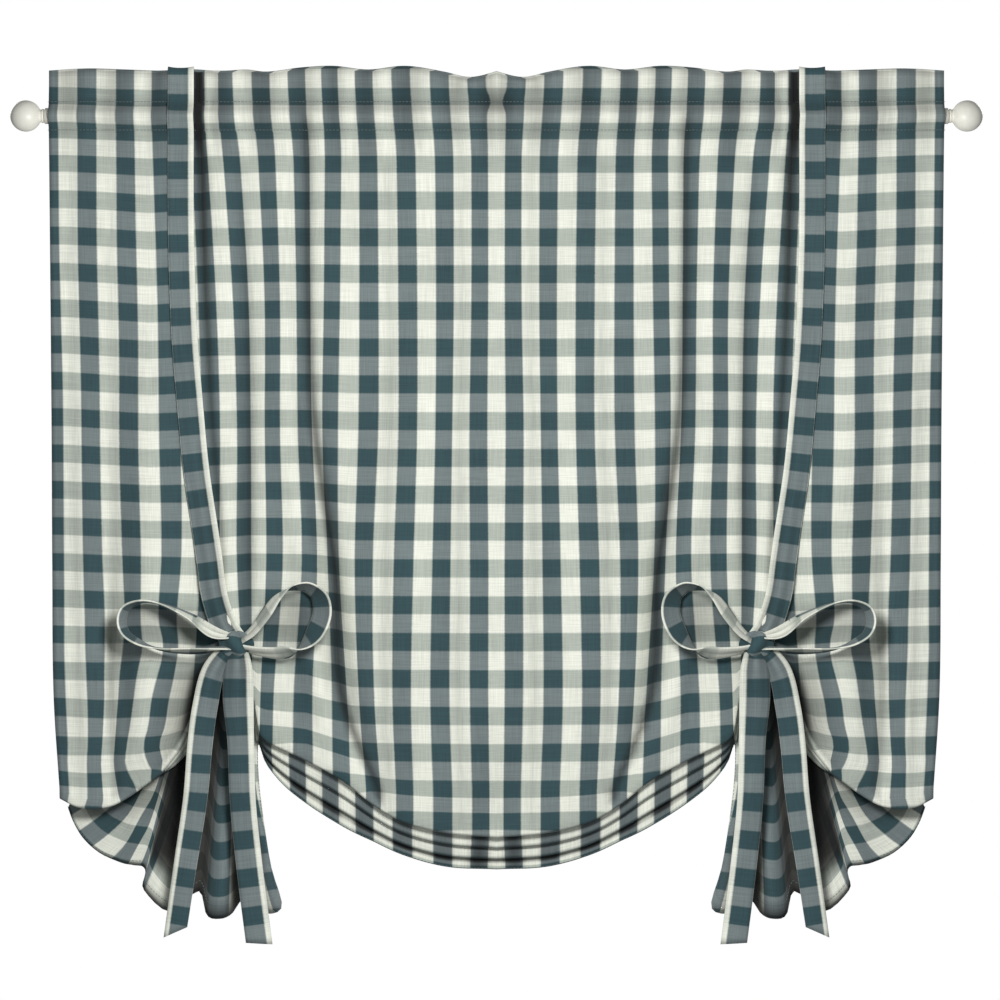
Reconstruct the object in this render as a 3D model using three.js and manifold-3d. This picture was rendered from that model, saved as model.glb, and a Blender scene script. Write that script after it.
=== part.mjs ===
// Tie-up shade: a checked cotton panel hung from a rod by its pocket and tied up by two bows.
// Millimetres, +Z up. The origin is on the rod's axis at mid width, and the front faces -Y.
// The two halves mirror each other, so tables give one half as distances from the middle.
import * as THREE from 'three';
import Module from 'manifold-3d';
import { mergeVertices } from 'three/addons/utils/BufferGeometryUtils.js';

// Cloth
const CLOTH = 1.2; // thickness of the cotton
const FIRST_GAP = 7; // from the front layer to the first layer folded up behind it
const LAYER_PITCH = 3.6; // from one folded layer to the next
const FOLD_COUNT = 6; // turns below the front layer, up and down in turn
const TURN_RISE = 2.4; // height of a turn's bend
const COLUMN_STEP = 25; // flat distance between the solid's columns, or less

// Rod, finials, pocket and header
const ROD_RADIUS = 8;
const ROD_HALF = 452;
const BALL_RADIUS = 15.6;
const BALL_CENTRE = 470.6;
const COLLAR_RADIUS = 7;
const JOINT_GAP = 0.3;
const POCKET_REACH = 11; // cloth's middle in front of and behind the rod's axis
const POCKET_HALF = 14; // stitch lines above and below the rod's axis
const LAYER_HALF = 1.8; // half the distance between the header's two layers
const FLAP_END = -17; // raw edge of the header's turned-back layer
const POCKET_ROWS = [-6.5, 0, 6.5, 15]; // heights of the rows round the rod
const TOP_BEND = 2; // the header turns over in this height
const FREE_DROP = 52; // folds are at their full depth this far below the rod
const CALM_RISE = 120; // and lose it over this height above the front crease
const CALM_SHARE = 0.35; // down to this share of it there and in the folded layers
const HEADER_LEVEL = 46.5; // the header leans back where its top edge is lower than this
const HEADER_LEAN = 0.5; // by this share of the difference

// Shares of the way down at which the front layer and the hem's layer have rows
const FRONT_SHARES = [0, 0.03, 0.08, 0.17, 0.29, 0.42, 0.55, 0.68, 0.8, 0.91];
const LAST_SHARES = [0.3, 0.62, 1];

// Ties
const TIE_WIDTH = 26;
const TIE_CLEAR = 2.4; // between the middles of a tie and of the cloth that it lies on
const BACK_CLEAR = 4; // the same behind the panel, below the header
const TIE_FLAT = 353; // flat distance from the middle at which a tie crosses the header

// Drops below the rod's axis at which the panel's columns and folds are given
const DROPS = [0, 184, 314, 449, 584, 674];

// Columns of the panel: flat distance from the middle, header's top edge, and distance at each drop
const COLUMNS = [
  { flat: 0, top: 44.5, at: [0, 0, 0, 0, 0, 0] },
  { flat: 19.75, top: 40, at: [17, 16.5, 18, 16.5, 16.5, 14.5] },
  { flat: 34, top: 39, at: [29, 29, 31, 31, 31, 29] },
  { flat: 59.25, top: 44, at: [52.5, 51.5, 52.5, 55, 56.5, 53.5] },
  { flat: 98.75, top: 49.5, at: [91, 88.5, 88.5, 92.5, 94.5, 92] },
  { flat: 138.25, top: 46, at: [128.5, 127.5, 128, 133, 130, 123] },
  { flat: 177.75, top: 49.5, at: [163, 165, 167, 164, 156.5, 154] },
  { flat: 217.25, top: 48, at: [195.5, 193, 191.5, 186, 193, 193] },
  { flat: 256.75, top: 44, at: [231.5, 224, 224, 222.5, 231, 232] },
  { flat: 277, top: 46, at: [250, 240, 239, 238, 240, 241] },
  { flat: 296.25, top: 45, at: [268.5, 256, 252.5, 252.5, 249, 249] },
  { flat: 316, top: 45, at: [284, 272, 268, 268, 259, 259] },
  { flat: 335.75, top: 46, at: [299, 289, 285, 286, 290, 298] },
  { flat: 355, top: 46, at: [317, 309, 305, 306, 322, 330] },
  { flat: 375.25, top: 45, at: [336, 329, 326, 326, 342, 338] },
  { flat: 414.75, top: 46, at: [371, 369.5, 369.5, 369, 376.5, 368] },
  { flat: 454.25, top: 47, at: [409.5, 409, 408, 406.5, 404.5, 403] },
  { flat: 493.75, top: 45, at: [447.5, 446, 445, 444.5, 443, 440] },
];

// Folds of the front layer: distance from the middle and depth behind the rest at each drop
const FOLDS = [
  { name: 'belly', width: 120, at: [0, 0, 0, 0, 0, 0], depth: [0, -2, -5, -9, -14, -16] },
  { name: 'soft trough', width: 16, at: [55, 52, 53, 57, 57, 54], depth: [2, 3, 4, 5, 4, 2] },
  { name: 'inner trough', width: 13, at: [194, 193, 187, 167, 151, 121], depth: [8, 9, 12, 16, 15, 8] },
  { name: 'inner ridge', width: 16, at: [212, 211, 207, 190, 176, 150], depth: [-3, -4, -6, -9, -9, -5] },
  { name: 'second trough', width: 11, at: [262, 254, 252, 252, 250, 250], depth: [2, 6, 7, 8, 6, 0] },
  { name: 'strap trough', width: 10, at: [298, 297, 293, 280, 275, 275], depth: [10, 6, 4, 2, 0, 0] },
  { name: 'ear ridge', width: 22, at: [340, 345, 348, 350, 352, 352], depth: [0, -2, -3, -4, -6, -6] },
  { name: 'ear trough', width: 15, at: [380, 378, 378, 378, 378, 374], depth: [0, 1, 2, 5, 11, 10] },
  { name: 'bow valley', width: 16, at: [300, 300, 300, 300, 306, 312], depth: [0, 0, 0, 4, 22, 28] },
  { name: 'side edge', width: 14, at: [447, 446, 445, 444, 443, 440], depth: [0, 2, 3, 4, 6, 9] },
];

// Foot of the panel: front crease, tops of the folds, and the hem's distance, height and place in depth.
// `bands` is 1 where the folded layers show below the crease, `lean` tilts the hem's layer sideways,
// by the power `ease` of the way down.
const FOOT = [
  { flat: 0, crease: -725, turn: -680, hem: 0, foot: -752, out: 0, bands: 1, lean: 0, ease: 1 },
  { flat: 59.25, crease: -722, turn: -677, hem: 53.5, foot: -749, out: 0, bands: 1, lean: 0, ease: 1 },
  { flat: 98.75, crease: -710, turn: -665, hem: 92, foot: -739.5, out: 0, bands: 1, lean: 0, ease: 1 },
  { flat: 138.25, crease: -689, turn: -642, hem: 123, foot: -728, out: 0, bands: 1, lean: 0, ease: 1 },
  { flat: 177.75, crease: -664, turn: -616, hem: 154, foot: -712.5, out: 0, bands: 1, lean: 0, ease: 1 },
  { flat: 217.25, crease: -643, turn: -595, hem: 193, foot: -688, out: 0, bands: 1, lean: 0, ease: 1 },
  { flat: 240, crease: -632, turn: -585, hem: 216, foot: -669, out: 0, bands: 1, lean: 0, ease: 1 },
  { flat: 256.75, crease: -624, turn: -578, hem: 232, foot: -649, out: 0, bands: 1, lean: 0, ease: 1 },
  { flat: 270, crease: -613, turn: -566, hem: 240, foot: -632, out: 0, bands: 1, lean: -0.8, ease: 3 },
  { flat: 276, crease: -600, turn: -557, hem: 239.2, foot: -664, out: 0, bands: 0.44, lean: -3.3, ease: 3 },
  { flat: 282, crease: -584, turn: -547, hem: 234, foot: -708, out: 0, bands: 0.22, lean: -11, ease: 3 },
  { flat: 288, crease: -568, turn: -536, hem: 226.5, foot: -754, out: -1, bands: 0.1, lean: -21, ease: 3 },
  { flat: 295, crease: -558, turn: -530, hem: 216, foot: -792, out: -5, bands: 0, lean: -34, ease: 3 },
  { flat: 303, crease: -553, turn: -529, hem: 233, foot: -798, out: -20, bands: 0, lean: -22, ease: 2.2 },
  { flat: 312, crease: -552, turn: -529, hem: 255, foot: -786, out: -2, bands: 0, lean: -3, ease: 1.6 },
  { flat: 319, crease: -552, turn: -529, hem: 266, foot: -799, out: -15, bands: 0, lean: 5, ease: 1.2 },
  { flat: 326, crease: -552, turn: -529, hem: 277, foot: -803, out: -22, bands: 0, lean: 10, ease: 1 },
  { flat: 333, crease: -560, turn: -531, hem: 290, foot: -800, out: -15, bands: 0, lean: 18, ease: 1.1 },
  { flat: 340, crease: -585, turn: -545, hem: 299, foot: -777, out: -5, bands: 0, lean: 14, ease: 1.2 },
  { flat: 348, crease: -628, turn: -575, hem: 328, foot: -797, out: -17, bands: 0, lean: 27, ease: 1.4 },
  { flat: 356, crease: -648, turn: -600, hem: 354, foot: -776, out: -12, bands: 0, lean: 36, ease: 1.4 },
  { flat: 364, crease: -655, turn: -612, hem: 353, foot: -762, out: 0, bands: 0, lean: 25, ease: 1 },
  { flat: 375.25, crease: -660, turn: -618, hem: 355, foot: -754, out: 4, bands: 0, lean: 18, ease: 1 },
  { flat: 395, crease: -670, turn: -630, hem: 365, foot: -751.5, out: 4, bands: 0, lean: 12, ease: 1 },
  { flat: 414.75, crease: -681, turn: -643, hem: 378, foot: -749, out: 2, bands: 0, lean: 11, ease: 1 },
  { flat: 434, crease: -690, turn: -656, hem: 398, foot: -740, out: 0, bands: 0, lean: 12, ease: 1 },
  { flat: 454.25, crease: -693, turn: -660, hem: 415, foot: -725, out: 0, bands: 0, lean: 12, ease: 1 },
  { flat: 474, crease: -691, turn: -662, hem: 425, foot: -709, out: 0, bands: 0, lean: 11, ease: 1 },
  { flat: 493.75, crease: -683, turn: -660, hem: 431, foot: -694, out: 0, bands: 0, lean: 5, ease: 1 },
];

// Smooth curve through a table's rows: one number or a list at each knot
function through(knots, values) {
  const rows = values.map((value) => [value].flat());
  const curve = new THREE.CubicInterpolant(knots, rows.flat(), rows[0].length);
  return (at) => (rows[0].length > 1 ? [...curve.evaluate(at)] : curve.evaluate(at)[0]);
}

const flats = COLUMNS.map((row) => row.flat);
const headerTop = through(flats, COLUMNS.map((row) => row.top));
const columnCourse = through(flats, COLUMNS.map((row) => row.at));
const footFlats = FOOT.map((row) => row.flat);
const footAt = through(footFlats, FOOT.map((row) => [
  row.crease, row.turn, row.hem, row.foot, row.out, row.bands, row.lean, row.ease,
]));
const folds = FOLDS.map((fold) => ({
  width: fold.width,
  course: through(DROPS, fold.at),
  depth: through(DROPS, fold.depth),
}));

// Half the distance between the pocket's two layers at a height, round the rod and close above and below it
function pocketHalf(z) {
  if (Math.abs(z) > POCKET_HALF) return LAYER_HALF;
  const round = Math.cos((Math.PI * z) / (2 * POCKET_HALF)) ** 2;
  return LAYER_HALF + (POCKET_REACH - LAYER_HALF) * round;
}

// Distance from the middle of a flat column at a height
function across(flat, z) {
  return through(DROPS, columnCourse(flat))(-z);
}

// Height of the front crease at a distance from the middle
const creaseBeside = through(FOOT.map((row) => across(row.flat, row.crease)), FOOT.map((row) => row.crease));

// Depth of the folds at a place, behind the plane in which the panel hangs
function foldDepth(x, z) {
  return folds.reduce((sum, { width, course, depth }) => {
    const offset = (x - course(-z)) / width;
    return sum + depth(-z) * Math.exp(-offset * offset);
  }, 0);
}

// Depth of the front layer: the pocket's bulge, folds that grow below it and calm down at the crease
function frontDepth(x, z) {
  const grown = THREE.MathUtils.smoothstep(-z, POCKET_HALF, FREE_DROP);
  const calm = THREE.MathUtils.smoothstep(z - creaseBeside(x), 0, CALM_RISE);
  return foldDepth(x, z) * grown * THREE.MathUtils.lerp(CALM_SHARE, 1, calm) - pocketHalf(z);
}

// Header's sway in depth, the same for both layers: it leans back where the top edge dips
function headerSway(flat, z) {
  const dip = HEADER_LEVEL - headerTop(flat);
  return HEADER_LEAN * dip * THREE.MathUtils.smoothstep(z, POCKET_HALF, headerTop(flat));
}

// One column of the panel from the turned-back edge over the header and down to the hem
function panelColumn(flat) {
  const points = [];
  const top = headerTop(flat);
  const headX = across(flat, 0);
  const header = [FLAP_END, ...POCKET_ROWS, top - TOP_BEND];
  for (const z of header) points.push([headX, pocketHalf(z) + headerSway(flat, z), z]);
  points.push([headX, headerSway(flat, top), top]);
  for (const z of header.slice(1).reverse()) points.push([headX, headerSway(flat, z) - pocketHalf(z), z]);

  const [crease, turn, hem, foot, out, bands, lean, ease] = footAt(flat);
  for (const share of FRONT_SHARES) {
    const z = THREE.MathUtils.lerp(FLAP_END, crease + TURN_RISE, share);
    const x = across(flat, z);
    points.push([x, frontDepth(x, z), z]);
  }

  const headLean = hem - lean;
  const creaseX = across(flat, crease);
  const layer = (index, z) => {
    const level = Math.max(z, crease);
    const x = across(flat, level) + ((headLean - creaseX) * index) / FOLD_COUNT;
    const behind = index ? FIRST_GAP + LAYER_PITCH * (index - 1) : 0;
    return [x, foldDepth(x, level) * CALM_SHARE - LAYER_HALF + behind, z];
  };
  const band = (index) => crease + (bands * (foot - crease) * index) / FOLD_COUNT;
  for (let index = 0; index < FOLD_COUNT; index += 1) {
    const low = index % 2 === 0;
    const tip = low ? band(index) : turn;
    const bend = low ? TURN_RISE : -TURN_RISE;
    const before = layer(index, tip + bend);
    const after = layer(index + 1, tip + bend);
    const middle = before.map((value, axis) => (value + after[axis]) / 2);
    points.push(before, [middle[0], middle[1], tip], after);
  }

  const start = layer(FOLD_COUNT, band(FOLD_COUNT - 2) + TURN_RISE);
  points.push(start);
  for (const share of LAST_SHARES) {
    points.push([
      THREE.MathUtils.lerp(start[0], hem, share ** ease),
      start[1] + out * Math.sin((Math.PI / 2) * share),
      THREE.MathUtils.lerp(start[2], foot, share),
    ]);
  }
  return points;
}

// Closed sheet of cloth around a grid of middle points
function sheet(grid, thickness) {
  const rows = grid.length;
  const columns = grid[0].length;
  const points = grid.flat();
  const normals = points.map(() => new THREE.Vector3());
  const down = new THREE.Vector3();
  const up = new THREE.Vector3();
  for (let i = 0; i + 1 < rows; i += 1) {
    for (let j = 0; j + 1 < columns; j += 1) {
      const a = i * columns + j;
      const corners = [a, a + 1, a + columns + 1, a + columns];
      down.subVectors(points[corners[2]], points[corners[0]]);
      up.subVectors(points[corners[3]], points[corners[1]]);
      down.cross(up);
      for (const corner of corners) normals[corner].add(down);
    }
  }
  const positions = [];
  for (const face of [1, -1]) {
    points.forEach((point, vertex) => {
      const offset = normals[vertex].clone().setLength((face * thickness) / 2);
      positions.push(...point.clone().add(offset).toArray());
    });
  }
  const back = rows * columns;
  const index = [];
  const quad = (a, b, c, d) => index.push(a, b, c, a, c, d);
  for (let i = 0; i + 1 < rows; i += 1) {
    for (let j = 0; j + 1 < columns; j += 1) {
      const a = i * columns + j;
      quad(a, a + 1, a + columns + 1, a + columns);
      quad(back + a, back + a + columns, back + a + columns + 1, back + a + 1);
    }
  }
  for (let i = 0; i + 1 < rows; i += 1) {
    const a = i * columns;
    const b = a + columns - 1;
    quad(a, a + columns, back + a + columns, back + a);
    quad(b + columns, b, back + b, back + b + columns);
  }
  for (let j = 0; j + 1 < columns; j += 1) {
    const a = (rows - 1) * columns + j;
    quad(j + 1, j, back + j, back + j + 1);
    quad(a, a + 1, back + a + 1, back + a);
  }
  const geometry = new THREE.BufferGeometry();
  geometry.setAttribute('position', new THREE.Float32BufferAttribute(positions, 3));
  geometry.setIndex(index);
  return geometry;
}

// Panel: the columns of the table's rows with one more between rows that lie far apart
function panelGeometry() {
  const half = [];
  footFlats.forEach((flat, row) => {
    const next = footFlats[row + 1];
    half.push(flat);
    const extra = next ? Math.round((next - flat) / COLUMN_STEP) - 1 : 0;
    for (let step = 1; step <= extra; step += 1) half.push(flat + ((next - flat) * step) / (extra + 1));
  });
  const flatsAcross = [...half.slice(1).reverse().map((flat) => -flat), ...half];
  const columns = flatsAcross.map((flat) => {
    const side = Math.sign(flat);
    return panelColumn(Math.abs(flat)).map(([x, y, z]) => new THREE.Vector3(side * x, y, z));
  });
  const grid = columns[0].map((_, row) => columns.map((column) => column[row]));
  return sheet(grid, CLOTH);
}

// Front and back faces of the cloth across a tie's width, with the tie's clearance
const tieShares = [-0.5, -0.25, 0, 0.25, 0.5];

function tieFront(x, z) {
  return Math.min(...tieShares.map((share) => frontDepth(x + share * TIE_WIDTH, z))) - TIE_CLEAR;
}

function tieBack(x, z) {
  if (z > FLAP_END - TIE_CLEAR) return pocketHalf(z) + TIE_CLEAR;
  return Math.max(...tieShares.map((share) => frontDepth(x + share * TIE_WIDTH, z))) + BACK_CLEAR;
}

// Flat strip of cloth along a smooth path; each row gives its middle, width and direction across
function strip(rows, steps, cut = 0) {
  const path = new THREE.CatmullRomCurve3(rows.map((row) => new THREE.Vector3(...row.at)));
  const lean = new THREE.CatmullRomCurve3(rows.map((row) => new THREE.Vector3(...row.across)));
  const knots = rows.map((_, row) => row / (rows.length - 1));
  const width = through(knots, rows.map((row) => row.width));
  const left = [];
  const right = [];
  for (let step = 0; step <= steps; step += 1) {
    const share = step / steps;
    const middle = path.getPoint(share);
    const along = path.getTangent(share);
    const side = lean.getPoint(share);
    side.addScaledVector(along, -side.dot(along)).setLength(width(share) / 2);
    const end = step === steps ? cut / 2 : 0;
    left.push(middle.clone().sub(side).addScaledVector(along, end));
    right.push(middle.clone().add(side).addScaledVector(along, -end));
  }
  return sheet([left, right], CLOTH);
}

// Course of the tie's run beside the middle: distance and height, from the knot up to the header
const RUN = [
  { x: 272, z: -510 },
  { x: 278.5, z: -492 },
  { x: 283, z: -474 },
  { x: 286.5, z: -447 },
  { x: 290.5, z: -419 },
  { x: 300, z: -354 },
  { x: 306.5, z: -285 },
  { x: 311.5, z: -224 },
  { x: 314.5, z: -150 },
  { x: 315.5, z: -84 },
  { x: 315.5, z: -40 },
  { x: 315.5, z: -17 },
  { x: 315.5, z: -6.5 },
  { x: 315.5, z: 0 },
  { x: 315.5, z: 6.5 },
  { x: 315.5, z: 15 },
  { x: 315.5, z: 30 },
  { x: 315.5, z: 44 },
];

// Bow: middle of the strip as distance, depth and height, its width, and its direction across
const OUTER_LOOP = [
  { at: [263, -13, -521], width: 12, across: [0.1, -1, -0.2] },
  { at: [283, -19, -515.5], width: 17, across: [0.1, -0.75, -0.65] },
  { at: [306.5, -25, -499], width: 23, across: [0.1, -1, -0.15] },
  { at: [336.5, -27, -486], width: 24, across: [0.1, -1, 0.05] },
  { at: [355, -27, -485], width: 24, across: [0.15, -1, 0.1] },
  { at: [368.5, -27, -492], width: 24, across: [0.3, -1, 0.1] },
  { at: [372, -27, -504], width: 24, across: [0.35, -1, 0] },
  { at: [368.5, -27, -516], width: 24, across: [0.25, -1, -0.1] },
  { at: [356, -27, -525], width: 24, across: [0.1, -1, -0.15] },
  { at: [336.5, -26, -532], width: 22, across: [0, -1, 0.1] },
  { at: [300, -22, -534], width: 19, across: [0, -0.95, 0.3] },
  { at: [265, -14, -532], width: 12, across: [0, -1, 0.1] },
];
const INNER_LOOP = [
  { at: [256, -14, -525], width: 12, across: [-0.3, -1, 0] },
  { at: [243, -20, -514], width: 18, across: [-0.45, -0.85, -0.1] },
  { at: [231, -25, -499], width: 23, across: [-0.45, -0.85, -0.1] },
  { at: [217, -29, -481], width: 25, across: [-0.45, -0.85, 0.1] },
  { at: [203, -30, -472], width: 25, across: [-0.5, -0.8, 0.3] },
  { at: [188, -31, -471], width: 25, across: [-0.6, -0.75, 0.2] },
  { at: [176, -31, -480], width: 25, across: [-0.75, -0.65, -0.1] },
  { at: [173, -31, -496], width: 25, across: [-0.75, -0.65, -0.15] },
  { at: [180, -30, -515], width: 25, across: [-0.7, -0.7, -0.25] },
  { at: [194, -28, -529], width: 24, across: [-0.45, -0.85, 0.05] },
  { at: [213, -25, -536], width: 22, across: [0, -0.8, 0.55] },
  { at: [238, -19, -535], width: 17, across: [0, -0.85, 0.5] },
  { at: [256, -14, -530], width: 12, across: [0, -1, 0.1] },
];
const OUTER_TAIL = [
  { at: [265, -14, -531], width: 18, across: [1, 0, 0.2] },
  { at: [281.5, -18, -554], width: 23, across: [1, -0.1, 0.25] },
  { at: [290, -18, -589], width: 25, across: [1, -0.15, 0.1] },
  { at: [295, -16, -624], width: 25, across: [1, -0.15, 0] },
  { at: [300, -14, -680], width: 24, across: [1, -0.1, 0] },
  { at: [310.5, -13, -750], width: 23, across: [1, 0.05, 0] },
  { at: [320, -12, -815], width: 22, across: [1, 0.1, 0] },
];
const INNER_TAIL = [
  { at: [258, -15, -531], width: 18, across: [1, 0, 0] },
  { at: [257, -20, -552], width: 28, across: [1, 0.1, 0] },
  { at: [257, -21, -580], width: 31, across: [1, 0.15, 0] },
  { at: [254.5, -19, -624], width: 27, across: [1, 0.15, 0] },
  { at: [252.5, -17, -684], width: 26, across: [1, 0.1, 0] },
  { at: [245.5, -15, -754], width: 26, across: [1, 0, 0] },
  { at: [236.5, -14, -826], width: 26, across: [1, -0.1, 0] },
];
const OUTER_CUT = -14; // slant of the outer tail's end over its width
const INNER_CUT = 5;
const KNOT = { at: [259, -14, -528], half: [15, 8, 13] };

// Turns cloth pieces that meet in the knot into one solid
const wasm = await Module();
wasm.setup();

function solid(geometry) {
  const bare = geometry.clone();
  bare.deleteAttribute('normal');
  bare.deleteAttribute('uv');
  const merged = mergeVertices(bare, 1e-4);
  return new wasm.Manifold(new wasm.Mesh({
    numProp: 3,
    vertProperties: new Float32Array(merged.attributes.position.array),
    triVerts: new Uint32Array(merged.index.array),
  }));
}

function fuse(geometries) {
  const whole = geometries.map(solid).reduce((sum, piece) => sum.add(piece));
  const { vertProperties, triVerts } = whole.getMesh();
  const geometry = new THREE.BufferGeometry();
  geometry.setAttribute('position', new THREE.Float32BufferAttribute(vertProperties, 3));
  geometry.setIndex([...triVerts]);
  return geometry;
}

// The same solid on the other side of the middle, its faces turned to point out again
function mirrored(geometry) {
  const copy = geometry.clone().scale(-1, 1, 1);
  copy.index.array.reverse();
  return copy;
}

// One tie: a strip over the header with its two ends tied in a bow in front of the panel
function tieGeometry() {
  const level = [1, 0, 0];
  const row = (x, y, z) => ({ at: [x, y, z], width: TIE_WIDTH, across: level });
  const crown = RUN.at(-1);
  const run = [
    row(...KNOT.at),
    ...RUN.map(({ x, z }) => row(x, tieFront(x, z), z)),
    row(crown.x, -LAYER_HALF, headerTop(TIE_FLAT) + TIE_CLEAR),
    row(crown.x, LAYER_HALF, headerTop(TIE_FLAT) + TIE_CLEAR),
    ...[...RUN].reverse().map(({ x, z }) => row(x, tieBack(x, z), z)),
  ];
  const knot = new THREE.SphereGeometry(1, 14, 8).scale(...KNOT.half).translate(...KNOT.at);
  return fuse([
    strip(run, 66),
    strip(OUTER_LOOP, 30),
    strip(INNER_LOOP, 32),
    strip(OUTER_TAIL, 14, OUTER_CUT),
    strip(INNER_TAIL, 14, INNER_CUT),
    knot,
  ]);
}

// Turned ball with a collar, on the end of the rod at one side
function finialGeometry(side) {
  const start = ROD_HALF + JOINT_GAP;
  const neck = Math.asin(COLLAR_RADIUS / BALL_RADIUS);
  const profile = [new THREE.Vector2(0, start), new THREE.Vector2(COLLAR_RADIUS, start)];
  const steps = 12;
  for (let step = 0; step <= steps; step += 1) {
    const angle = Math.PI - neck - ((Math.PI - neck) * step) / steps;
    const radius = step === steps ? 0 : BALL_RADIUS * Math.sin(angle);
    profile.push(new THREE.Vector2(radius, BALL_CENTRE + BALL_RADIUS * Math.cos(angle)));
  }
  return new THREE.LatheGeometry(profile, 24).rotateZ((-side * Math.PI) / 2);
}

const shade = new THREE.Group();

function add(name, geometry, colour, roughness) {
  const material = new THREE.MeshStandardMaterial({ color: colour, roughness, metalness: 0 });
  const mesh = new THREE.Mesh(geometry, material);
  mesh.name = name;
  shade.add(mesh);
}

add('shade_panel', panelGeometry(), 0x6f838a, 0.9);
const rod = new THREE.CylinderGeometry(ROD_RADIUS, ROD_RADIUS, 2 * ROD_HALF, 24).rotateZ(Math.PI / 2);
add('rod', rod, 0xe6e3d8, 0.5);
const tie = tieGeometry();
for (const [name, side] of [['left', -1], ['right', 1]]) {
  add(`finial_${name}`, finialGeometry(side), 0xe6e3d8, 0.45);
  add(`tie_${name}`, side > 0 ? tie : mirrored(tie), 0x4f666f, 0.9);
}

export default shade;
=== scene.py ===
"""Tie-up shade of checked cotton on a painted rod, hung in a white surround."""

import math

import bpy
import numpy as np
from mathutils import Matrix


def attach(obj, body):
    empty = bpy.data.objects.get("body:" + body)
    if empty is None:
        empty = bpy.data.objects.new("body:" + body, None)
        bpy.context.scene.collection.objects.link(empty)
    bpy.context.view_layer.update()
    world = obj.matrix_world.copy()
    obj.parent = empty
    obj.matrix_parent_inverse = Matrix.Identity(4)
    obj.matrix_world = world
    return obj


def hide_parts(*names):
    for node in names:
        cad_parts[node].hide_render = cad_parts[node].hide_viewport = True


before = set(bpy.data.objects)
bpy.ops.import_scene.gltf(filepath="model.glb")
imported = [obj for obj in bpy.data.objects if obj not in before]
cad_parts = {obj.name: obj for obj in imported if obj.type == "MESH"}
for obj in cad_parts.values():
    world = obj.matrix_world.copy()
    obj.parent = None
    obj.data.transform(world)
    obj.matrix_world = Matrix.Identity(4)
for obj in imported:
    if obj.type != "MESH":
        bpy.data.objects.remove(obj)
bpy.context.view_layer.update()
scene = bpy.context.scene

# ROD
# A plain 16 mm steel tube with off-white satin paint. It runs through the panel's pocket and carries
# the whole shade, and a ball is screwed on each of its ends.
ROD_RADIUS, ROD_HALF, ROD_BEVEL = 8, 452, 0.8
BRUSH_MARKS = (120, 900, 900)  # per metre: marks 8 mm long and 1 mm wide, along the rod
GRIME_SPOTS = 160.0  # per metre: spots of 6 mm
DULLER, GLOSSIER = 0.12, 0.08  # how far the paint's roughness varies


def linear(code):
    """Linear colour of an sRGB hex code."""
    parts = [int(code[i : i + 2], 16) / 255 for i in (0, 2, 4)]
    return [c / 12.92 if c <= 0.04045 else ((c + 0.055) / 1.055) ** 2.4 for c in parts] + [1]


def add(tree, kind, inputs=None, **settings):
    """New node with its settings, and each input linked from a socket or set to a value."""
    made = tree.nodes.new(kind)
    for name, value in settings.items():
        setattr(made, name, value)
    for key, value in (inputs or {}).items():
        if isinstance(value, bpy.types.NodeSocket):
            tree.links.new(value, made.inputs[key])
        else:
            made.inputs[key].default_value = value
    return made


def surface(name, **sockets):
    """New material: its node tree and its shader with constant sockets set."""
    material = bpy.data.materials.new(name)
    material.use_nodes = True
    tree = material.node_tree
    shader = tree.nodes["Principled BSDF"]
    for key, value in sockets.items():
        shader.inputs[key.replace("_", " ")].default_value = value
    return material, tree, shader


def painted(name, code, wear_and_painted_shade, roughness):
    """Satin paint: brush marks along the piece, a little grime and uneven gloss."""
    material, tree, shader = surface(name, Specular_IOR_Level=0.45)
    place = add(tree, "ShaderNodeTexCoord").outputs["Object"]
    stretched = add(tree, "ShaderNodeMapping", {"Vector": place, "Scale": BRUSH_MARKS})
    marks = add(tree, "ShaderNodeTexNoise", {
        "Vector": stretched.outputs[0], "Scale": 1.0, "Detail": 3.0,
    })
    grime = add(tree, "ShaderNodeTexNoise", {"Vector": place, "Scale": GRIME_SPOTS, "Detail": 4.0})
    tone = add(tree, "ShaderNodeMix", {
        "Factor": grime.outputs["Fac"], 6: linear(wear_and_painted_shade), 7: linear(code),
    }, data_type="RGBA")
    gloss = add(tree, "ShaderNodeMapRange", {
        "Value": grime.outputs["Fac"], "To Min": roughness + DULLER, "To Max": roughness - GLOSSIER,
    })
    relief = add(tree, "ShaderNodeBump", {
        "Height": marks.outputs["Fac"], "Strength": 0.15, "Distance": 0.0002,
    })
    tree.links.new(tone.outputs[2], shader.inputs["Base Color"])
    tree.links.new(gloss.outputs[0], shader.inputs["Roughness"])
    tree.links.new(relief.outputs[0], shader.inputs["Normal"])
    return material


def piece(name, points, faces, material):
    """Smooth mesh object from points in metres and faces."""
    mesh = bpy.data.meshes.new(name)
    mesh.from_pydata(points, [], faces)
    mesh.validate()
    mesh.materials.append(material)
    mesh.polygons.foreach_set("use_smooth", [True] * len(mesh.polygons))
    made = bpy.data.objects.new(name, mesh)
    scene.collection.objects.link(made)
    return made


def turned(name, profile, side, material, segments=48):
    """Round piece about the rod's axis from (distance from the middle, radius) rows in mm."""
    points, faces = [], []
    for along, radius in profile:
        for step in range(segments):
            turn = 2 * math.pi * step / segments
            y, z = radius * math.cos(turn) / 1000, radius * math.sin(turn) / 1000
            points.append((side * along / 1000, y, z))
    for ring in range(len(profile) - 1):
        for step in range(segments):
            a = ring * segments + step
            b = ring * segments + (step + 1) % segments
            quad = (a, a + segments, b + segments, b)
            faces.append(quad if side > 0 else quad[::-1])
    ends = [tuple(range(segments)), tuple(range(len(points) - 1, len(points) - segments - 1, -1))]
    faces += ends if side > 0 else [end[::-1] for end in ends]
    return piece(name, points, faces, material)


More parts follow.
